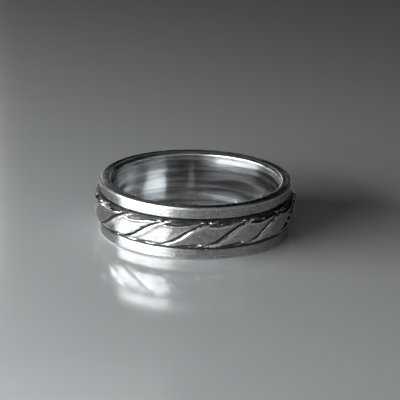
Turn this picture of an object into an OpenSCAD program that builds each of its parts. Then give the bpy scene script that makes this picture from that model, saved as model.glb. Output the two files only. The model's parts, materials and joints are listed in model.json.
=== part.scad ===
// Spinner ring: a plain band with a rope-pattern spinner that turns freely in the channel round it.
// Millimetres. The ring lies on its side: its axis is +Z, and its lower end face is at z = 0.

/* [Band] */
// Inside diameter of the band, a US size 9
bore_d = 18.95; // [14:0.05:24]
// Width of the band, from one end face to the other
band_w = 6.05; // [4.6:0.05:12]
// Wall of the sleeve under the spinner
sleeve_wall = 0.75; // [0.5:0.05:1.5]
// Height of the two rims above the sleeve
rim_h = 0.575; // [0.35:0.025:1.2]
// Width of each rim
rim_w = 1.32; // [0.8:0.02:2]
// Round that eases each end of the bore
lip_r = 0.42; // [0.1:0.02:0.6]
// Round along the rims' outer edges
edge_r = 0.18; // [0.05:0.01:0.25]

/* [Spinner] */
// Running gap between the sleeve and the spinner's own bore
bore_gap = 0.08; // [0.02:0.01:0.1]
// Gap between the spinner and each rim
side_gap = 0.08; // [0.04:0.01:0.25]
// Thickness of the spinner at the bottom of its grooves
back_wall = 0.45; // [0.3:0.05:0.8]
// Height of the strands above the bottom of the grooves
strand_h = 0.57; // [0.2:0.01:0.8]

/* [Rope pattern] */
// Number of strands round the spinner
strands = 14; // [8:1:22]
// How far a strand leans over the width of the spinner, in pitches
lean = 1.48; // [0.4:0.02:2.2]
// Share of the lean that bends the strand into an S
s_bend = 0.36; // [0:0.02:0.6]
// Angle from +X to the middle of the first groove, in degrees
first_groove = -96.5; // [-180:0.5:180]
// How far the hand twist drifts from an even spacing, in degrees
drift = 1.8; // [0:0.1:3]
// Angle from +X at which the strands stand closest together, in degrees
closest_at = -90; // [-180:5:180]

/* [Strand] */
// Height of a strand's flat top, as a share of its crest's height
plate_share = 0.9; // [0.7:0.02:1]
// Place of the crest along a strand's left edge, as a share of the strand's width
crest_at = 0.115; // [0.06:0.005:0.2]
// Distance over which the crest eases down to the flat top, as a share of the strand's width
crest_ease = 0.2; // [0.05:0.05:0.4]
// Width of the slope at a strand's right edge, as a share of the strand's width
right_slope = 0.13; // [0.06:0.01:0.25]
// Height of the groove's bottom, as a share of the strand's height
groove_share = 0.34; // [0:0.02:0.6]
// Place where the strand's ends begin to fall, as a share of half the spinner's width
fall_from = 0.62; // [0.4:0.02:0.9]
// How far the strand has fallen at the spinner's edge, as a share of its height
fall = 0.75; // [0:0.05:0.9]

/* [Scoops at the strand's ends] */
// Distance of the upper scoop's deepest reach from the spinner's middle, as a share of half its width
upper_reach = 0.49; // [0.3:0.01:0.8]
// The same for the lower scoop
lower_reach = 0.6; // [0.3:0.01:0.8]
// Place of that reach along the spinner, in pitches from the strand's centre
scoop_at = 0.26; // [0:0.02:0.6]
// Half length of the rounded bottom of the scoop's edge, in pitches
scoop_bend = 0.15; // [0.05:0.01:0.4]
// How fast the scoop's edge swings outward from there
scoop_swing = 0.65; // [0.2:0.05:2]
// Height of a scoop's floor, as a share of the strand's height
scoop_floor = 0.2; // [0:0.02:0.5]
// Width of the slope down into a scoop, as a share of half the spinner's width
scoop_slope = 0.15; // [0.08:0.01:0.4]
// Place where a scoop begins beside the crest, as a share of the strand's width
scoop_from = 0.15; // [0.08:0.01:0.3]
// Slope from there down to the scoop's floor, as a share of the strand's width
scoop_side = 0.1; // [0.04:0.01:0.2]

/* [Crest, brow and beads] */
// Lower end of the crest, as a share of half the spinner's width from its middle
crest_low = -0.7; // [-0.95:0.05:-0.3]
// Upper end of the crest, in the same shares
crest_high = 1.02; // [0.5:0.02:1.1]
// Length over which the crest runs out at each end, in the same shares
crest_end = 0.12; // [0.04:0.02:0.3]
// Width of the brow, the raised edge under the upper scoop, in the same shares
brow_wide = 0.16; // [0.05:0.01:0.3]
// Left end of the brow, in pitches from the strand's centre
brow_from = -0.02; // [-0.3:0.02:0.3]
// Right end of the brow, in pitches from the strand's centre
brow_to = 0.86; // [0.5:0.02:1.1]
// Length over which the brow runs out at each end, in pitches
brow_end = 0.14; // [0.04:0.02:0.3]
// Bead at the crest's foot: its place in pitches from the strand's centre and in shares of half the
// spinner's width from its middle, then its half length and half height in the same two terms
foot = [-0.78, -0.68, 0.15, 0.12]; // [-1:0.01:1]
// Bead at the crest's tip, in the same terms
tip = [0.12, 0.84, 0.08, 0.12]; // [-1:0.01:1]

/* [Hidden] */

// Arcs are round to this many sides
$fn = 180;

// Room by which one solid passes another that it cuts or joins
cut = 0.5;

// A full turn, in degrees
turn = 360;

bore_r = bore_d/2;
sleeve_r = bore_r + sleeve_wall;
rim_r = sleeve_r + rim_h;

spin_bore_r = sleeve_r + bore_gap;
groove_r = spin_bore_r + back_wall;
spin_w = band_w - 2*(rim_w + side_gap);
mid_z = band_w/2;
pitch = turn/strands;

// How many lines the relief is drawn with, across the top of a strand and up the spinner
top_columns = 9;
rows = 21;

// Power that draws the rows closer together toward the spinner's edges
crowding = 0.75;

// Where the relief is drawn: shares of a strand's width from its left groove to the next, and
// shares of half the spinner's width from its lower edge at -1 to its upper one at 1
top_w = 1 - right_slope - crest_at;
across = [
    0, crest_at/2,
    for (i = [0:top_columns - 1]) crest_at + i*top_w/(top_columns - 1),
    1 - right_slope/2];
along = [for (i = [0:rows - 1]) let (u = 2*i/(rows - 1) - 1) sign(u)*pow(abs(u), crowding)];

// An even ease from 0 at x = 0 to 1 at x = 1
function ease(x) = let (t = min(max(x, 0), 1)) t*t*(3 - 2*t);

// The S of every groove: pitches it has leaned at v, from -1 at the lower edge to 1 at the upper
function leaned(v) = lean/2*((1 - s_bend)*v + s_bend*v*v*v);

// Quarter-round shoulder: 1 up to x = 0, falling to 0 at x = 1
function shoulder(x) = let (t = min(max(x, 0), 1)) sqrt(1 - t*t);

// Where the scoop with the given reach begins, at a pitches along from the strand's centre
function scoop_edge(reach, a) = reach + scoop_swing*(norm([a - scoop_at, scoop_bend]) - scoop_bend);

// How far a point lies inside the upper scoop, 0 outside it and 1 on its floor
function scooped(reach, w, v) =
    ease((v - scoop_edge(reach, w - 0.5 + leaned(v)))/scoop_slope)*ease((w - scoop_from)/scoop_side);

// A height let down toward the scoop's floor by a share
function let_down(h, share) = h + share*(min(h, scoop_floor) - h);

// How near a point is to the crest along the strand's left edge, 1 on it
function crest(w, v) =
    ease((crest_high - v)/crest_end)*ease((v - crest_low)/crest_end)
    *(w < crest_at ? shoulder(1 - w/crest_at) : 1 - ease((w - crest_at)/crest_ease));

// How near a point is to the brow under the upper scoop, 1 on it
function brow(a, v) =
    let (off = v - scoop_edge(upper_reach, a))
    ease((brow_to - a)/brow_end)*ease((a - brow_from)/brow_end)
    *(1 - (off < 0 ? ease(-off/brow_wide) : ease(off/scoop_slope)));

// A round bead, 1 on top and 0 round its foot
function dome(bead, a, v) = shoulder(norm([(a - bead[0])/bead[2], (v - bead[1])/bead[3]]));

// Height share of the strand before its ends are scooped out
function full_height(w, v) =
    let (
        top = plate_share + (1 - plate_share)*max(crest(w, v), brow(w - 0.5 + leaned(v), v)),
        sides = shoulder(1 - w/crest_at)*ease((1 - w)/right_slope),
        fallen = 1 - fall*ease((abs(v) - fall_from)/(1 - fall_from)))
    (groove_share + (top - groove_share)*sides)*fallen;

// Height share of the relief. The lower scoop is an upper one turned by half a turn.
function relief(w, v) =
    let (
        a = w - 0.5 + leaned(v),
        scooped_above = let_down(full_height(w, v), scooped(upper_reach, w, v)),
        scooped_twice = let_down(scooped_above, scooped(lower_reach, 1 - w, -v)),
        held = shoulder(abs(w - crest_at)/crest_at)*crest(w, v),
        raised = max(held, dome(foot, a, v), dome(tip, a, v)))
    max(scooped_twice, groove_share + (1 - groove_share)*raised);

// A point of the relief: the strand's number plus w gives its place round the spinner
function relief_point(place, w, v) =
    let (
        even = (place + leaned(v))*pitch + first_groove,
        angle = even - drift*sin(even - closest_at),
        r = groove_r + strand_h*relief(w, v))
    [r*cos(angle), r*sin(angle), mid_z + v*spin_w/2];

// The solid that the relief covers, closed to the ring's axis at both ends
module rope_drum() {
    cols = len(across);
    n = strands*cols;
    skin = [
        for (v = along, k = [0:strands - 1], w = across) relief_point(k + w, w, v)];
    low_centre = len(skin);
    high_centre = low_centre + 1;
    centres = [for (side = [-1, 1]) [0, 0, mid_z + side*spin_w/2]];
    function at(i, j) = i*n + j%n;
    sides = [
        for (i = [0:rows - 2], j = [0:n - 1], half = [0, 1])
            half == 0
                ? [at(i, j), at(i + 1, j), at(i, j + 1)]
                : [at(i, j + 1), at(i + 1, j), at(i + 1, j + 1)]];
    low_end = [for (j = [0:n - 1]) [low_centre, at(0, j), at(0, j + 1)]];
    high_end = [for (j = [0:n - 1]) [high_centre, at(rows - 1, j + 1), at(rows - 1, j)]];
    polyhedron(concat(skin, centres), concat(sides, low_end, high_end));
}

// What is cut from a square corner at the origin, the material lying along +X and +Y, to round it
module corner_cut(r) {
    difference() {
        translate([-cut, -cut]) square(cut + r);
        translate([r, r]) circle(r);
    }
}

// The band's section, drawn with X as the distance from the axis and Y as Z
module band_section() {
    channel_w = band_w - 2*rim_w;
    difference() {
        translate([bore_r, 0]) square([rim_r - bore_r, band_w]);
        translate([sleeve_r, rim_w]) square([rim_h + cut, channel_w]);
        // Both ends of the bore, eased for the finger
        translate([bore_r, 0]) corner_cut(lip_r);
        translate([bore_r, band_w]) mirror([0, 1]) corner_cut(lip_r);
        // The four outer edges of the rims
        for (z = [0, band_w - rim_w]) {
            translate([rim_r, z]) mirror([1, 0]) corner_cut(edge_r);
            translate([rim_r, z + rim_w]) mirror([1, 0]) mirror([0, 1]) corner_cut(edge_r);
        }
    }
}

// The inner sleeve with a rim soldered on at each end, one solid
module band() {
    color("silver") rotate_extrude() band_section();
}

// The rope-pattern ring that turns on the sleeve, held between the rims
module spinner() {
    color("gainsboro") difference() {
        rope_drum();
        translate([0, 0, mid_z - spin_w/2 - cut]) cylinder(h = spin_w + 2*cut, r = spin_bore_r);
    }
}

band();
spinner();
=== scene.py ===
"""A silver spinner ring lying on its side on a pale surface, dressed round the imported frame."""

import json
import math

import bpy
import numpy as np
from mathutils import Matrix, Vector


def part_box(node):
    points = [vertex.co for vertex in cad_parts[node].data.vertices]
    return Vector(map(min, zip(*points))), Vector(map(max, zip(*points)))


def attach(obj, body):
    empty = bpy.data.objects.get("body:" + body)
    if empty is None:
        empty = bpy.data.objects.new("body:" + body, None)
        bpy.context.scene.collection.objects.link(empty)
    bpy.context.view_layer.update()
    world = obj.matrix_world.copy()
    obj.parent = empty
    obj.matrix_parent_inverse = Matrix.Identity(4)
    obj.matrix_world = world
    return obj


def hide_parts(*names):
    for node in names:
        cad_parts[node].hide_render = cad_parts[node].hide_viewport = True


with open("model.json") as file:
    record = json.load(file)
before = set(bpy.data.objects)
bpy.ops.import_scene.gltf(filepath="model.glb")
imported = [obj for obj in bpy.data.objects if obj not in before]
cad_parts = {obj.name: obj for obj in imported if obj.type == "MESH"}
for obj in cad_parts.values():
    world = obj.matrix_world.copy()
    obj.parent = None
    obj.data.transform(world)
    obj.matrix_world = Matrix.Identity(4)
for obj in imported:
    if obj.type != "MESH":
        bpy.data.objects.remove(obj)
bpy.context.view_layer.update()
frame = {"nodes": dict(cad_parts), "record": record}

# Units and the seed of every random draw

MM = 0.001
SEED = 17

# Sizes taken from the frame, in metres


def node_radii(name):
    """The smallest and the largest distance of a node's vertices from the ring's axis."""
    mesh = frame["nodes"][name].data
    flat = np.zeros(len(mesh.vertices) * 3)
    mesh.vertices.foreach_get("co", flat)
    radii = np.hypot(flat[0::3], flat[1::3])
    return radii.min(), radii.max()


def finger_bore():
    """Radius and length of the straight part of the bore, as the record states them."""
    dims = next(m["dims"] for m in frame["record"]["mounts"] if m["name"] == "finger_bore")
    return dims["r_mm"] * MM, dims["length_mm"] * MM


BORE_R, BORE_LENGTH = finger_bore()
RIM_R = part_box("band")[1].x
BAND_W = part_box("band")[1].z
LIP_R = (BAND_W - BORE_LENGTH) / 2
MIDDLE = BAND_W / 2
SPIN_BORE_R, SPIN_CROWN_R = node_radii("spinner")
SPIN_LOW, SPIN_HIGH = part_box("spinner")[0].z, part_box("spinner")[1].z

# The rounds of the rims' edges, outside and at the channel, and the spinner's running gaps

EDGE_R = 0.18 * MM
CHANNEL_EDGE_R = 0.08 * MM
BORE_GAP = 0.08 * MM
SIDE_GAP = 0.08 * MM
SLEEVE_R = SPIN_BORE_R - BORE_GAP
RIM_W = SPIN_LOW - SIDE_GAP

# How far the spinner's relief stays inside its solid
SKIN = 0.01 * MM

# How near to the bore's wall a point of the band counts as on it
ON_THE_WALL = 0.01 * MM

# Swells of hand finishing: how deep they are, and what they are made of, as (how many waves, their
# range in a full turn, their range over the height)
BAND_SWELL_DEPTH = 0.006 * MM
BAND_SWELL = (14, (3, 40), (0, 9))
STRAND_SWELL_DEPTH = 0.012 * MM
STRAND_SWELL = (24, (6, 90), (0, 3))
GROOVE_SWELL = (24, (10, 70), (0, 4))


# Meshes from grids of points


def grid_mesh(name, points, zones=None):
    """A mesh from rows of points that close round the axis, and from the last row to the first.

    points has the shape (rows, columns, 3). zones gives each row's material number.
    """
    sharp_from = math.radians(50)
    rows, columns = points.shape[:2]
    i, j = np.meshgrid(np.arange(rows), np.arange(columns), indexing="ij")
    up, beside = (i + 1) % rows, (j + 1) % columns
    corners = [(i, j), (i, beside), (up, beside), (up, j)]
    faces = np.stack([a * columns + b for a, b in corners], -1).reshape(-1, 4)
    mesh = bpy.data.meshes.new(name)
    mesh.from_pydata(points.reshape(-1, 3), [], faces)
    mesh.shade_smooth()
    mesh.set_sharp_from_angle(angle=sharp_from)
    if zones is not None:
        mesh.polygons.foreach_set("material_index", np.repeat(zones, columns))
    mesh.update()
    piece = bpy.data.objects.new(name, mesh)
    bpy.context.scene.collection.objects.link(piece)
    return piece


def set_share(piece, name, values):
    """Gives each vertex of a piece a value from 0 to 1 that its material reads."""
    shares = piece.data.attributes.new(name, "FLOAT", "POINT")
    shares.data.foreach_set("value", values.astype(np.float32).ravel())


def round_the_axis(radius, angle, height):
    """Points at these distances from the ring's axis, angles from +X and heights."""
    x, y = radius * np.cos(angle), radius * np.sin(angle)
    return np.stack([x, y, np.broadcast_to(height, x.shape)], -1)


def waves(rng, turn, height, count, turns, rises):
    """A soft random swell between about -1 and 1 that closes on itself round the ring.

    turns is the range of its waves in a full turn, rises of its waves over the height.
    """
    swell = np.zeros(np.broadcast(turn, height).shape)
    for _ in range(count):
        k = rng.integers(turns[0], turns[1] + 1)
        m = rng.uniform(rises[0], rises[1]) * rng.choice([-1, 1])
        swell += np.sin(k * turn + math.tau * (m * height + rng.random()))
    return swell / math.sqrt(count)


def sunk(swell, depth):
    """A swell as a change of radius, inward by the depth on average and none where the swell is 2."""
    return depth * (swell - 2) / 2


# The band


def arc(centre_r, centre_z, radius, start, end, steps):
    """Points of a round, as (distance from the axis, height), angles in degrees."""
    angles = np.radians(np.linspace(start, end, steps))
    return [(centre_r + radius * math.cos(a), centre_z + radius * math.sin(a)) for a in angles]


def line(start, end, steps):
    """Points between two places, without the places themselves."""
    shares = np.linspace(0, 1, steps + 2)[1:-1]
    return [tuple(np.array(start) + s * (np.array(end) - np.array(start))) for s in shares]


# Zones of the band's surface, which are also its material numbers
BORE, SATIN, CHANNEL, FACE, LIP = range(5)


def band_profile():
    """The band's section and each point's zone, from the lower lip up the bore and down the outside."""
    lip_r, edge_r, inner_r = LIP_R, EDGE_R, CHANNEL_EDGE_R
    lip_steps, bore_steps, face_steps, edge_steps, rim_steps, inner_steps = 10, 14, 4, 6, 7, 5
    face_in, face_out, wall = BORE_R + lip_r, RIM_R - edge_r, RIM_R - inner_r
    top, channel_top = BAND_W, BAND_W - RIM_W
    stretches = [
        (LIP, arc(face_in, lip_r, lip_r, 270, 180, lip_steps)),
        (BORE, line((BORE_R, lip_r), (BORE_R, top - lip_r), bore_steps)),
        (LIP, arc(face_in, top - lip_r, lip_r, 180, 90, lip_steps)),
        (FACE, line((face_in, top), (face_out, top), face_steps)),
        (LIP, arc(face_out, top - edge_r, edge_r, 90, 0, edge_steps)),
        (SATIN, line((RIM_R, top - edge_r), (RIM_R, channel_top + inner_r), rim_steps)),
        (SATIN, arc(wall, channel_top + inner_r, inner_r, 0, -90, inner_steps)),
        (CHANNEL, [(SLEEVE_R, channel_top), (SLEEVE_R, RIM_W)]),
        (SATIN, arc(wall, RIM_W - inner_r, inner_r, 90, 0, inner_steps)),
        (SATIN, line((RIM_R, RIM_W - inner_r), (RIM_R, edge_r), rim_steps)),
        (LIP, arc(face_out, edge_r, edge_r, 0, -90, edge_steps)),
        (FACE, line((face_out, 0), (face_in, 0), face_steps)),
    ]
    points = np.array([p for _, stretch in stretches for p in stretch])
    zones = np.array([zone for zone, stretch in stretches for _ in stretch])
    # A row's faces run on to the next row, so the channel's upper wall belongs to the row before it
    zones[np.flatnonzero(zones == CHANNEL)[0] - 1] = CHANNEL
    return points, zones


def band_mesh():
    """The sleeve and its two rims, turned round the axis, with the slight waviness of hand finishing."""
    columns = 720
    profile, zones = band_profile()
    turn = np.linspace(0, math.tau, columns, endpoint=False)[None, :]
    share = np.linspace(0, 1, len(profile), endpoint=False)[:, None]
    rng = np.random.default_rng(SEED)
    push = sunk(waves(rng, turn, share, *BAND_SWELL), BAND_SWELL_DEPTH)
    radius, height = profile[:, :1], profile[:, 1:]
    outside, inside = radius > RIM_R - EDGE_R / 2, radius < BORE_R + ON_THE_WALL
    points = round_the_axis(radius + push * outside - push * inside, turn, height)
    return grid_mesh("band_silver", points, zones)


# The spinner's relief, in shares: w runs over a strand's width, v over half the spinner's width up
# and down from its middle, and heights over the relief's own

# The rope: its strands and their height, the pitches that a strand leans over the spinner's width
# and the share of them that bends it into an S, the angle of the first groove from +X, and how far
# the hand twist drifts from an even spacing, closest together at one angle
STRANDS = 14
PITCH = math.tau / STRANDS
STRAND_H = 0.57 * MM
LEAN = 1.48
S_BEND = 0.36
FIRST_GROOVE = math.radians(-96.5)
DRIFT = math.radians(1.8)
CLOSEST_AT = math.radians(-90)

# A strand: the crest along its left edge, its flat top, the slope at its right and the fall to its ends
PLATE = 0.90
CREST_AT = 0.115
CREST_TO_PLATE = 0.20
RIGHT_SLOPE = 0.10
GROOVE_SHARE = 0.34
FALL_FROM = 0.62
FALL = 0.65

# The scoops at its upper and lower ends. Each reaches furthest in at one place along the spinner, is
# rounded there and swings out on both sides. It slopes down to its floor from that edge, and beside
# the crest too.
SCOOP_REACH = (0.49, 0.60)
SCOOP_AT = 0.26
SCOOP_BEND = 0.15
SCOOP_SWING = 0.65
SCOOP_FLOOR = 0.20
SCOOP_SLOPE = 0.15
SCOOP_FROM = 0.15
SCOOP_SIDE = 0.10

# Where the crest runs out at its ends, and the brow that runs on from it above the plate
CREST_LOW, CREST_HIGH, CREST_END = -0.70, 1.02, 0.12
BROW_WIDE = 0.16
BROW_FROM, BROW_TO, BROW_END = -0.02, 0.86, 0.14

# Small raised forms, as (pitches along the spinner from the strand's centre, v, half length, half
# height): the bead at the crest's tip, the one at the brow's end and the low leaves in the scoops
TIP = (0.12, 0.84, 0.08, 0.12)
BEAD = (0.97, 0.86, 0.06, 0.09)
LEAVES = ((0.50, 0.68, 0.13, 0.08), (0.80, 0.76, 0.11, 0.06), (-0.24, -0.84, 0.13, 0.06))
LEAF_TOP = 0.66

# The sloped pad at the crest's foot: its place in the same terms, its height, the run-out below its
# lower side, and how fast its polish comes in with its height
FOOT = (-0.76, -0.70, 0.12, 0.13)
FOOT_TOP = 0.62
FOOT_FALL = 0.08
FOOT_SHINE = 5

# Oxide and painted shade: how far left of each groove's middle its dark line of painted shade is, on
# the slope that faces right, that line's half width, and the heights between which the oxide thins out
SHADE_LINE_AT = 0.030
SHADE_LINE_HALF = 0.058
OXIDE_FULL, OXIDE_NONE = 0.34, 0.60

# How much of its oxide a scoop keeps, and the place from which it keeps more, up to all, by the rim,
# which is painted shade between the spinner and the rim
SCOOP_OXIDE = 0.60
RIM_SHADE_FROM, RIM_SHADE_SLOPE = 0.66, 0.20

# How far the hand work strays from strand to strand, and how far its lines wander, in the same shares
WANDER = 0.010
UNEVEN_REACH = 0.05
UNEVEN_AT = 0.06
UNEVEN_FLOOR = 0.10
UNEVEN_BEAD = 0.35
UNEVEN_PLACE = 0.04

# The mesh: columns to a strand, how much closer they stand at its grooves, and rows up the spinner
STRAND_COLUMNS = 62
CROWDING = 0.6
SPINNER_ROWS = 96


def ease(x):
    """An even ease from 0 at 0 to 1 at 1."""
    t = np.clip(x, 0, 1)
    return t * t * (3 - 2 * t)


def shoulder(x):
    """A quarter round that is 1 up to 0 and falls to 0 at 1."""
    t = np.clip(x, 0, 1)
    return np.sqrt(1 - t * t)


def hump(x):
    """An even hump that is 1 at 0 and falls to 0 at 1 on either side."""
    return 1 - ease(np.abs(x))


def leaned(v):
    """Pitches that a strand has leaned at v, which runs from -1 at the lower edge to 1 at the upper."""
    return LEAN / 2 * ((1 - S_BEND) * v + S_BEND * v**3)


def from_centre(w, v):
    """The place along the spinner, in pitches from the strand's centre."""
    return w - 0.5 + leaned(v)


def dome(bead, along, v):
    """A round bead, 1 on top and 0 round its foot."""
    at, v_at, length, height = bead
    return shoulder(np.hypot((along - at) / length, (v - v_at) / height))


def pad(bead, along, v):
    """A bead cut to one slope that faces up the ring, 1 along its lower side."""
    at, v_at, length, height = bead
    low, high = v_at - height, v_at + height
    slope = np.clip((high - v) / (2 * height), 0, 1)
    return slope * shoulder(np.abs(along - at) / length) * ease((v - low) / FOOT_FALL + 1)


class Work:
    """The forms of every strand, each with what its hand work strays from the pattern."""

    def __init__(self, rng, strand):
        def stray(spread):
            return spread * rng.uniform(-1, 1, STRANDS)[strand]

        def placed(bead):
            along, v, length, height = bead
            return (
                along + stray(UNEVEN_PLACE),
                v + stray(UNEVEN_PLACE / 2),
                length * (1 + stray(UNEVEN_BEAD)),
                height * (1 + stray(UNEVEN_BEAD)),
            )

        self.reach = [reach + stray(UNEVEN_REACH) for reach in SCOOP_REACH]
        self.at = [SCOOP_AT + stray(UNEVEN_AT) for _ in SCOOP_REACH]
        self.floor = [SCOOP_FLOOR + stray(UNEVEN_FLOOR) for _ in SCOOP_REACH]
        self.foot, self.tip, self.bead = map(placed, (FOOT, TIP, BEAD))
        self.leaves = [placed(leaf) for leaf in LEAVES]

    def scoop_edge(self, end, along):
        """Where the scoop at an end begins, as v counted toward that end."""
        off = along - self.at[end]
        return self.reach[end] + SCOOP_SWING * (np.hypot(off, SCOOP_BEND) - SCOOP_BEND)

    def scoop(self, end, w, v):
        """How far a point lies inside the scoop at an end, 0 outside it and 1 on its floor."""
        inside = ease((v - self.scoop_edge(end, from_centre(w, v))) / SCOOP_SLOPE)
        return inside * ease((w - SCOOP_FROM) / SCOOP_SIDE)

    def crest(self, w, v):
        """How near a point is to the crest along the strand's left edge, 1 on it."""
        ends = ease((CREST_HIGH - v) / CREST_END) * ease((v - CREST_LOW) / CREST_END)
        left = shoulder(1 - w / CREST_AT)
        return ends * np.where(w < CREST_AT, left, 1 - ease((w - CREST_AT) / CREST_TO_PLATE))

    def brow(self, w, v):
        """How near a point is to the brow along the upper scoop, 1 on it."""
        along = from_centre(w, v)
        off = v - self.scoop_edge(0, along)
        ends = ease((BROW_TO - along) / BROW_END) * ease((along - BROW_FROM) / BROW_END)
        return ends * np.where(off < 0, 1 - ease(-off / BROW_WIDE), 1 - ease(off / SCOOP_SLOPE))

    def foot_pad(self, w, v):
        """The sloped pad at the crest's foot."""
        return pad(self.foot, from_centre(w, v), v)

    def beads(self, w, v):
        """The beads at the crest's tip and at the brow's end."""
        along = from_centre(w, v)
        return np.maximum(dome(self.tip, along, v), dome(self.bead, along, v))

    def leaf(self, w, v):
        """The low leaves that lie in the scoops."""
        along = from_centre(w, v)
        return np.maximum.reduce([dome(leaf, along, v) for leaf in self.leaves])


def full_height(w, v, crest, brow):
    """Height share of a strand before its ends are scooped out."""
    across = shoulder(1 - w / CREST_AT) * ease((1 - w) / RIGHT_SLOPE)
    fallen = 1 - FALL * ease((np.abs(v) - FALL_FROM) / (1 - FALL_FROM))
    top = PLATE + (1 - PLATE) * np.maximum(crest, brow)
    return (GROOVE_SHARE + (top - GROOVE_SHARE) * across) * fallen


def scooped_out(height, w, v, work):
    """The height with both scoops cut, the lower one an upper one turned by half a turn.

    Also gives how far each point lies inside a scoop.
    """
    scooped = np.zeros_like(height)
    for end, w_end, v_end in ((0, w, v), (1, 1 - w, -v)):
        share = work.scoop(end, w_end, v_end)
        height = height + share * (np.minimum(height, work.floor[end]) - height)
        scooped = np.maximum(scooped, share)
    return height, scooped


def oxide_and_shade_share(w, v, height, scooped):
    """How dark a point is: painted shade along the slope by each groove, oxide low down and in the
    scoops, and painted shade in the scoops by the rim.
    """
    to_groove = np.where(w < 0.5, w, w - 1)
    # Painted shade: a dark line on the slope that faces right, just left of each groove
    shade_by_groove = hump((to_groove + SHADE_LINE_AT) / SHADE_LINE_HALF)
    deep = 1 - ease((height - OXIDE_FULL) / (OXIDE_NONE - OXIDE_FULL))
    # Painted shade: the scoops keep all their dark by the rim, between the spinner and the rim
    rim_shade = ease((np.abs(v) - RIM_SHADE_FROM) / RIM_SHADE_SLOPE)
    deep = deep * (1 - scooped * (1 - SCOOP_OXIDE) * (1 - rim_shade))
    return np.maximum(shade_by_groove, deep)


def relief(w, v, work):
    """Height share, oxide with painted shade, and polish at w, from 0 in a strand's left groove to 1 in
    the next.
    """
    forms = (work.crest, work.brow, work.beads, work.leaf, work.foot_pad)
    crest, brow, beads, leaf, foot = (form(w, v) for form in forms)
    height, scooped = scooped_out(full_height(w, v, crest, brow), w, v, work)
    height = np.maximum(height, LEAF_TOP * leaf)
    held = shoulder(np.abs(w - CREST_AT) / CREST_AT) * crest
    raised = np.maximum.reduce([held, beads, FOOT_TOP * foot])
    height = np.maximum(height, GROOVE_SHARE + (1 - GROOVE_SHARE) * raised)
    shine = np.minimum(FOOT_SHINE * foot, 1)
    polish = np.maximum.reduce([held, brow, beads, leaf, shine])
    return height, oxide_and_shade_share(w, v, height, scooped), polish


def spinner_mesh():
    """The rope-pattern ring, with its strands drawn as fine relief."""
    even_share = np.arange(STRAND_COLUMNS) / STRAND_COLUMNS
    share = even_share - CROWDING * np.sin(math.tau * even_share) / math.tau
    strand = np.repeat(np.arange(STRANDS), STRAND_COLUMNS)
    w = np.tile(share, STRANDS)[None, :]
    v = np.linspace(-1, 1, SPINNER_ROWS)[:, None]
    rng = np.random.default_rng(SEED + 1)
    even = (strand[None, :] + w + leaned(v)) * PITCH + FIRST_GROOVE
    even = even + WANDER * PITCH * waves(rng, even, v / 2, *GROOVE_SWELL)
    angle = even - DRIFT * np.sin(even - CLOSEST_AT)
    lift = WANDER * waves(rng, even, v / 2, *GROOVE_SWELL) * (1 - v**4)
    push = sunk(waves(rng, angle, v / 2, *STRAND_SWELL), STRAND_SWELL_DEPTH)
    height_share, oxide_and_shade, polish = relief(w, v, Work(rng, strand))
    groove_r = SPIN_CROWN_R - STRAND_H
    radius = groove_r - SKIN + STRAND_H * height_share + push
    height = MIDDLE + (v + lift) * (SPIN_HIGH - SPIN_LOW) / 2
    bore_ends = ((angle[-1], SPIN_HIGH), (angle[0], SPIN_LOW))
    inner = [round_the_axis(SPIN_BORE_R, end_angle, z) for end_angle, z in bore_ends]
    outer = round_the_axis(radius, angle, height)
    piece = grid_mesh("spinner_silver", np.concatenate([outer, inner]))
    in_the_bore = np.ones((len(inner), angle.shape[1]))
    set_share(piece, "oxide_and_shade", np.concatenate([oxide_and_shade, in_the_bore]))
    set_share(piece, "polish", np.concatenate([polish, 0 * in_the_bore]))
    return piece


# Materials

# The middle of the range of a noise
NOISE_MIDDLE = 0.5


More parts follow.
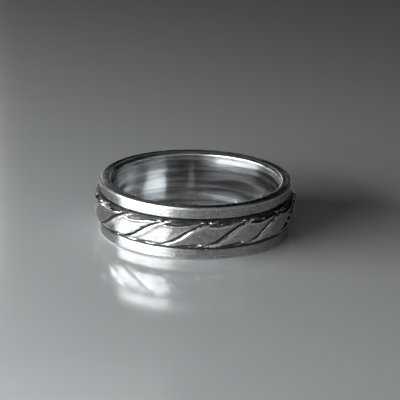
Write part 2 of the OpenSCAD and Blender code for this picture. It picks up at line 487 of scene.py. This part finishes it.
class Graph:
    """A material's nodes, made in short calls."""

    def __init__(self, name):
        self.material = bpy.data.materials.new(name)
        self.material.use_nodes = True
        self.tree = self.material.node_tree
        self.shader = self.tree.nodes["Principled BSDF"]

    def plug(self, socket, value):
        """Links another node's socket, or sets a plain value."""
        if isinstance(value, bpy.types.NodeSocket):
            self.tree.links.new(value, socket)
        else:
            socket.default_value = value

    def add(self, kind, *inputs, **settings):
        """A node with its first inputs plugged in order."""
        node = self.tree.nodes.new("ShaderNode" + kind)
        for key, value in settings.items():
            setattr(node, key, value)
        for socket, value in zip(node.inputs, inputs):
            self.plug(socket, value)
        return node

    def math(self, operation, *inputs):
        """The result of a Math node."""
        return self.add("Math", *inputs, operation=operation).outputs[0]

    def ramp(self, value, between, to=(0.0, 1.0)):
        """The value mapped from one range to another, smoothly, and held at the ends."""
        return self.add("MapRange", value, *between, *to, interpolation_type="SMOOTHSTEP").outputs[0]

    def blend(self, share, first, second):
        """A colour between two, by share."""
        node = self.add("Mix", data_type="RGBA")
        for socket, value in (("Factor", share), ("A", first), ("B", second)):
            self.plug(node.inputs[socket], value)
        return node.outputs["Result"]

    def point(self):
        """The point on the piece."""
        return self.add("TexCoord").outputs["Object"]

    def place(self):
        """The point on the piece, its three parts, and its distance from the ring's axis."""
        point = self.point()
        xyz = self.add("SeparateXYZ", point).outputs
        flat = self.add("CombineXYZ", xyz[0], xyz[1]).outputs[0]
        radius = self.add("VectorMath", flat, operation="LENGTH").outputs["Value"]
        return point, xyz, radius

    def share(self, name):
        """A value that the mesh carries."""
        return self.add("Attribute", attribute_name=name).outputs["Fac"]

    def noise(self, point, size, detail, roughness=0.5):
        """Cloudy noise, even in every direction, with clouds of about the given size."""
        node = self.add("TexNoise")
        self.plug(node.inputs["Vector"], point)
        node.inputs["Scale"].default_value = 1 / size
        node.inputs["Detail"].default_value = detail
        node.inputs["Roughness"].default_value = roughness
        return node.outputs[0]

    def streaks(self, xyz, radius, length, width):
        """Noise drawn out round the axis, as wear and polishing leave it, with no seam."""
        across, along = 1 / width, 1 / length
        x, y = self.math("MULTIPLY", xyz[0], along), self.math("MULTIPLY", xyz[1], along)
        z, w = self.math("MULTIPLY", xyz[2], across), self.math("MULTIPLY", radius, across)
        node = self.add("TexNoise", noise_dimensions="4D")
        self.plug(node.inputs["Vector"], self.add("CombineXYZ", x, y, z).outputs[0])
        self.plug(node.inputs["W"], w)
        node.inputs["Scale"].default_value = 1.0
        node.inputs["Detail"].default_value = 3.0
        return node.outputs[0]

    def hairlines(self, point, turn, length, width, share):
        """Fine straight scratches in one direction, 1 on a scratch and 0 beside it."""
        turned = self.add("Mapping")
        self.plug(turned.inputs["Vector"], point)
        turned.inputs["Rotation"].default_value = turn
        turned.inputs["Scale"].default_value = (1 / length, 1 / width, 1 / width)
        noise = self.noise(turned.outputs[0], size=1.0, detail=1.0)
        off_middle = self.math("ABSOLUTE", self.math("SUBTRACT", noise, NOISE_MIDDLE))
        return self.ramp(off_middle, (0.0, share), to=(1.0, 0.0))

    def bump(self, height, depth, below=None):
        """A bump of the given depth in metres, on top of another."""
        node = self.add("Bump")
        node.inputs["Strength"].default_value = 1.0
        node.inputs["Distance"].default_value = depth
        self.plug(node.inputs["Height"], height)
        if below is not None:
            self.plug(node.inputs["Normal"], below)
        return node.outputs[0]

    def brushed(self, amount):
        """Spreads reflections across the brushing, which runs round the ring's axis."""
        across_the_tangent = 0.25
        tangent = self.add("Tangent", direction_type="RADIAL", axis="Z").outputs[0]
        self.plug(self.shader.inputs["Tangent"], tangent)
        self.plug(self.shader.inputs["Anisotropic"], amount)
        self.plug(self.shader.inputs["Anisotropic Rotation"], across_the_tangent)

    def finish(self, colour, roughness, normal=None, metallic=1.0):
        """Plugs the shader, and returns the material."""
        self.plug(self.shader.inputs["Base Color"], colour)
        self.plug(self.shader.inputs["Roughness"], roughness)
        self.plug(self.shader.inputs["Metallic"], metallic)
        if normal is not None:
            self.plug(self.shader.inputs["Normal"], normal)
        return self.material


POLISHED_SILVER = (0.88, 0.875, 0.865, 1)
SILVER = (0.80, 0.795, 0.785, 1)
WORN_SILVER = (0.60, 0.595, 0.59, 1)
BRUSHED_SILVER = (0.64, 0.635, 0.625, 1)
DULL_SILVER = (0.39, 0.385, 0.38, 1)
# Darker worn silver with a painted blue cast of reflected light
WORN_SILVER_WITH_BLUE_REFLECTION = (0.35, 0.375, 0.40, 1)
# Dark colours for oxide, and for painted shade on shaded slopes and in the gaps
OXIDE_AND_SHADE = (0.018, 0.018, 0.019, 1)
GREY_OXIDE_AND_SHADE = (0.06, 0.06, 0.062, 1)
PALE_GREY = (0.70, 0.70, 0.70, 1)
PALER_GREY = (0.74, 0.74, 0.74, 1)


def bore_silver():
    """Mirror polish, worn in fine streaks round the finger, the darker streaks with a painted blue cast
    of reflected light, and duller toward both ends.
    """
    g = Graph("bore_silver")
    point, xyz, radius = g.place()
    broad = g.streaks(xyz, radius, length=8 * MM, width=0.55 * MM)
    fine = g.streaks(xyz, radius, length=3 * MM, width=0.09 * MM)
    cloud = g.noise(point, size=1.6 * MM, detail=3.0)
    off_middle = g.math("ABSOLUTE", g.math("SUBTRACT", xyz[2], MIDDLE))
    dull = g.ramp(off_middle, (0.9 * MM, 2.6 * MM), to=(0.0, 0.20))
    colour = g.blend(g.ramp(broad, (0.36, 0.64)), WORN_SILVER_WITH_BLUE_REFLECTION, POLISHED_SILVER)
    roughness = g.math("ADD", g.ramp(broad, (0.35, 0.70), to=(0.06, 0.18)), dull)
    normal = g.bump(fine, depth=0.006 * MM)
    normal = g.bump(cloud, depth=0.022 * MM, below=normal)
    g.brushed(amount=0.9)
    return g.finish(colour, roughness, normal)


def lip_silver():
    """The rounds at both ends of the bore and round the end faces, burnished and lightly scratched."""
    g = Graph("lip_silver")
    point, xyz, radius = g.place()
    fine = g.streaks(xyz, radius, length=4 * MM, width=0.12 * MM)
    cloud = g.noise(point, size=1.3 * MM, detail=3.0)
    colour = g.blend(g.ramp(fine, (0.3, 0.6)), WORN_SILVER, POLISHED_SILVER)
    roughness = g.ramp(cloud, (0.3, 0.7), to=(0.26, 0.36))
    normal = g.bump(fine, depth=0.004 * MM)
    normal = g.bump(cloud, depth=0.010 * MM, below=normal)
    return g.finish(colour, roughness, normal)


def face_silver():
    """The end faces: polished, with fine turned lines and a slight waviness."""
    g = Graph("face_silver")
    point, xyz, radius = g.place()
    turned = g.streaks(xyz, radius, length=5 * MM, width=0.07 * MM)
    broad = g.streaks(xyz, radius, length=6 * MM, width=0.30 * MM)
    cloud = g.noise(point, size=1.2 * MM, detail=4.0)
    colour = g.blend(g.ramp(broad, (0.35, 0.65)), WORN_SILVER, SILVER)
    patchy = g.ramp(cloud, (0.3, 0.7), to=(-0.04, 0.04))
    roughness = g.math("ADD", g.ramp(broad, (0.3, 0.7), to=(0.18, 0.28)), patchy)
    normal = g.bump(turned, depth=0.004 * MM)
    normal = g.bump(cloud, depth=0.006 * MM, below=normal)
    g.brushed(amount=0.85)
    return g.finish(colour, roughness, normal)


def satin_silver():
    """The rims: brushed round, mottled and finely scratched by wear, brighter along their edges."""
    g = Graph("satin_silver")
    point, xyz, radius = g.place()
    speckle_part, streak_part, edge_polish = 0.65, 0.35, 0.10
    speckle = g.noise(point, size=0.30 * MM, detail=5.0, roughness=0.72)
    cloud = g.noise(point, size=1.6 * MM, detail=4.0, roughness=0.6)
    streak = g.streaks(xyz, radius, length=2.4 * MM, width=0.11 * MM)
    scratch = g.hairlines(point, turn=(0.3, 0.9, 0.5), length=3 * MM, width=0.25 * MM, share=0.012)
    edge = g.ramp(radius, (RIM_R - EDGE_R, RIM_R - EDGE_R / 4), to=(1.0, 0.0))
    mottle = g.math("MULTIPLY", speckle, speckle_part)
    mottle = g.math("ADD", mottle, g.math("MULTIPLY", streak, streak_part))
    colour = g.blend(g.ramp(mottle, (0.37, 0.63)), DULL_SILVER, BRUSHED_SILVER)
    colour = g.blend(edge, colour, POLISHED_SILVER)
    rubbed = g.ramp(mottle, (0.36, 0.64), to=(0.04, -0.03))
    worn = g.math("ADD", g.ramp(cloud, (0.3, 0.7), to=(0.18, 0.25)), rubbed)
    roughness = g.math("SUBTRACT", worn, g.math("MULTIPLY", edge, edge_polish))
    normal = g.bump(streak, depth=0.006 * MM)
    normal = g.bump(speckle, depth=0.014 * MM, below=normal)
    normal = g.bump(scratch, depth=-0.004 * MM, below=normal)
    g.brushed(amount=0.92)
    return g.finish(colour, roughness, normal)


def channel_oxide_and_shade():
    """The channel under the spinner, dark with oxide where no cloth reaches, and painted shade where it
    shows in the gaps beside the spinner.
    """
    g = Graph("channel_oxide_and_shade")
    cloud = g.noise(g.point(), size=0.5 * MM, detail=4.0)
    colour = g.blend(g.ramp(cloud, (0.3, 0.75)), OXIDE_AND_SHADE, GREY_OXIDE_AND_SHADE)
    return g.finish(colour, g.ramp(cloud, (0.3, 0.7), to=(0.4, 0.6)), metallic=0.6)


def strand_silver():
    """The strands: polished on their ridges, worn on top, dark with oxide in the grooves and scoops, with
    painted shade on the slope beside each groove and in the scoops by the rim.
    """
    g = Graph("strand_silver")
    point = g.point()
    raggedness, ridge_polish, oxide_dullness = 1.1, 0.10, 0.2
    cloud = g.noise(point, size=0.9 * MM, detail=4.0, roughness=0.6)
    speckle = g.noise(point, size=0.28 * MM, detail=5.0, roughness=0.7)
    ragged = g.math("MULTIPLY", g.math("SUBTRACT", speckle, NOISE_MIDDLE), raggedness)
    ragged_oxide_and_shade = g.ramp(g.math("ADD", g.share("oxide_and_shade"), ragged), (0.3, 0.8))
    oxide_and_shade = g.math("MULTIPLY", ragged_oxide_and_shade, g.ramp(g.share("polish"), (0.2, 0.7), to=(1.0, 0.0)))
    polish = g.ramp(g.share("polish"), (0.3, 0.9))
    top = g.blend(g.ramp(speckle, (0.36, 0.64)), DULL_SILVER, BRUSHED_SILVER)
    dark = g.blend(g.ramp(cloud, (0.35, 0.70)), OXIDE_AND_SHADE, GREY_OXIDE_AND_SHADE)
    colour = g.blend(oxide_and_shade, g.blend(polish, top, POLISHED_SILVER), dark)
    worn = g.ramp(cloud, (0.3, 0.7), to=(0.19, 0.27))
    worn = g.math("SUBTRACT", worn, g.math("MULTIPLY", polish, ridge_polish))
    roughness = g.math("ADD", worn, g.math("MULTIPLY", oxide_and_shade, oxide_dullness))
    normal = g.bump(speckle, depth=0.010 * MM)
    normal = g.bump(cloud, depth=0.016 * MM, below=normal)
    g.brushed(amount=0.9)
    return g.finish(colour, roughness, normal, metallic=g.ramp(oxide_and_shade, (0.0, 1.0), to=(1.0, 0.3)))


def floor_paint():
    """A plain pale surface with a soft shine."""
    g = Graph("pale_floor")
    colour = g.blend(g.noise(g.point(), size=6 * MM, detail=4.0), PALE_GREY, PALER_GREY)
    g.shader.inputs["IOR"].default_value = 1.8
    return g.finish(colour, roughness=0.12, metallic=0.0)


# The stage

# The camera: its angle above the surface, its roll, its distance and lens, the point that the camera
# and the lights face, and how far to the right and up the camera is moved from facing it
CAMERA_UP = math.radians(18.48)
CAMERA_ROLL = math.radians(1.33)
CAMERA_AWAY = 210 * MM
CAMERA_LENS, CAMERA_SENSOR = 167.1, 36
CAMERA_CLIP = 1 * MM
AIM = Vector((0, 0, 3 * MM))
AIM_RIGHT, AIM_UP = 0.528 * MM, 0.322 * MM

# The floor's half length, the dim room round it and the tints of the lights
FLOOR_HALF = 600 * MM
ROOM_GREY = 0.002
COOL, NEUTRAL, WARM = (0.92, 0.97, 1.0), (1, 1, 1), (1.0, 0.98, 0.92)

# Soft lights, as (name, azimuth, elevation, distance, width, height, power, tint), in degrees,
# millimetres and watts. The keys light the left, the backs the end face and the bore, the panels the
# ridges, and the top a view from above.
SOFTBOXES = (
    ("key", -62, 17, 150, 200, 46, 0.34, COOL),
    ("key_edge", -17, 17, 150, 50, 46, 0.010, COOL),
    ("back", -166, 17, 1500, 315, 210, 0.42, WARM),
    ("back_right", 163, 12, 1500, 260, 200, 0.16, COOL),
    ("back_high", -171, 32, 300, 70, 50, 0.004, NEUTRAL),
    ("front_panel", 9, 34, 150, 64, 36, 0.0062, NEUTRAL),
    ("side_panel", 54, 34, 150, 48, 36, 0.0048, WARM),
    ("small_panel", 30, 40, 150, 22, 22, 0.0018, NEUTRAL),
    ("top", 180, 82, 250, 80, 60, 0.0038, NEUTRAL),
)


def toward(azimuth, elevation, distance):
    """The place at a distance from the ring. Azimuth 0 is on the camera's side and 90 is to the right."""
    a, e = math.radians(azimuth), math.radians(elevation)
    return Vector((math.sin(a) * math.cos(e), -math.cos(a) * math.cos(e), math.sin(e))) * distance


def make_camera():
    """The camera at the photo's angle, turned a little about its own axis as the photo is."""
    forward = Vector((0, math.cos(CAMERA_UP), -math.sin(CAMERA_UP)))
    right = Vector((1, 0, 0))
    up = right.cross(forward)
    place = AIM - forward * CAMERA_AWAY + right * AIM_RIGHT + up * AIM_UP
    turned = Matrix.Rotation(CAMERA_ROLL, 3, -forward)
    axes = Matrix((turned @ right, turned @ up, -forward)).transposed()
    data = bpy.data.cameras.new("camera")
    data.lens = CAMERA_LENS
    data.sensor_width = CAMERA_SENSOR
    data.clip_start = CAMERA_CLIP
    camera = bpy.data.objects.new("camera", data)
    camera.matrix_world = Matrix.Translation(place) @ axes.to_4x4()
    bpy.context.scene.collection.objects.link(camera)
    bpy.context.scene.camera = camera


def make_softbox(name, place, width, height, power, tint):
    """A soft rectangular light that faces the ring."""
    data = bpy.data.lights.new(name, "AREA")
    data.shape = "RECTANGLE"
    data.size, data.size_y = width, height
    data.energy = power
    data.color = tint
    box = bpy.data.objects.new(name, data)
    box.location = place
    box.rotation_euler = (AIM - place).to_track_quat("-Z", "Y").to_euler()
    box.visible_camera = False
    bpy.context.scene.collection.objects.link(box)


def make_floor():
    """The surface that the ring lies on."""
    mesh = bpy.data.meshes.new("floor")
    corners = [(x * FLOOR_HALF, y * FLOOR_HALF, 0) for x, y in ((-1, -1), (1, -1), (1, 1), (-1, 1))]
    mesh.from_pydata(corners, [], [(0, 1, 2, 3)])
    mesh.materials.append(floor_paint())
    floor = bpy.data.objects.new("floor", mesh)
    bpy.context.scene.collection.objects.link(floor)


def make_world():
    """A dim even room round the lights."""
    world = bpy.data.worlds.new("room")
    world.use_nodes = True
    background = world.node_tree.nodes["Background"]
    background.inputs["Color"].default_value = (ROOM_GREY, ROOM_GREY, ROOM_GREY, 1)
    bpy.context.scene.world = world


# The pieces, each on its body. The band's materials stand in the order of its zones.

band = band_mesh()
for made in (bore_silver(), satin_silver(), channel_oxide_and_shade(), face_silver(), lip_silver()):
    band.data.materials.append(made)
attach(band, "band")
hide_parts("band")

spinner = spinner_mesh()
spinner.data.materials.append(strand_silver())
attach(spinner, "spinner")
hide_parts("spinner")

# The stage round them

make_camera()
make_floor()
make_world()
for name, azimuth, elevation, away, width, height, power, tint in SOFTBOXES:
    make_softbox(name, toward(azimuth, elevation, away * MM), width * MM, height * MM, power, tint)
bpy.context.scene.view_settings.view_transform = "Standard"
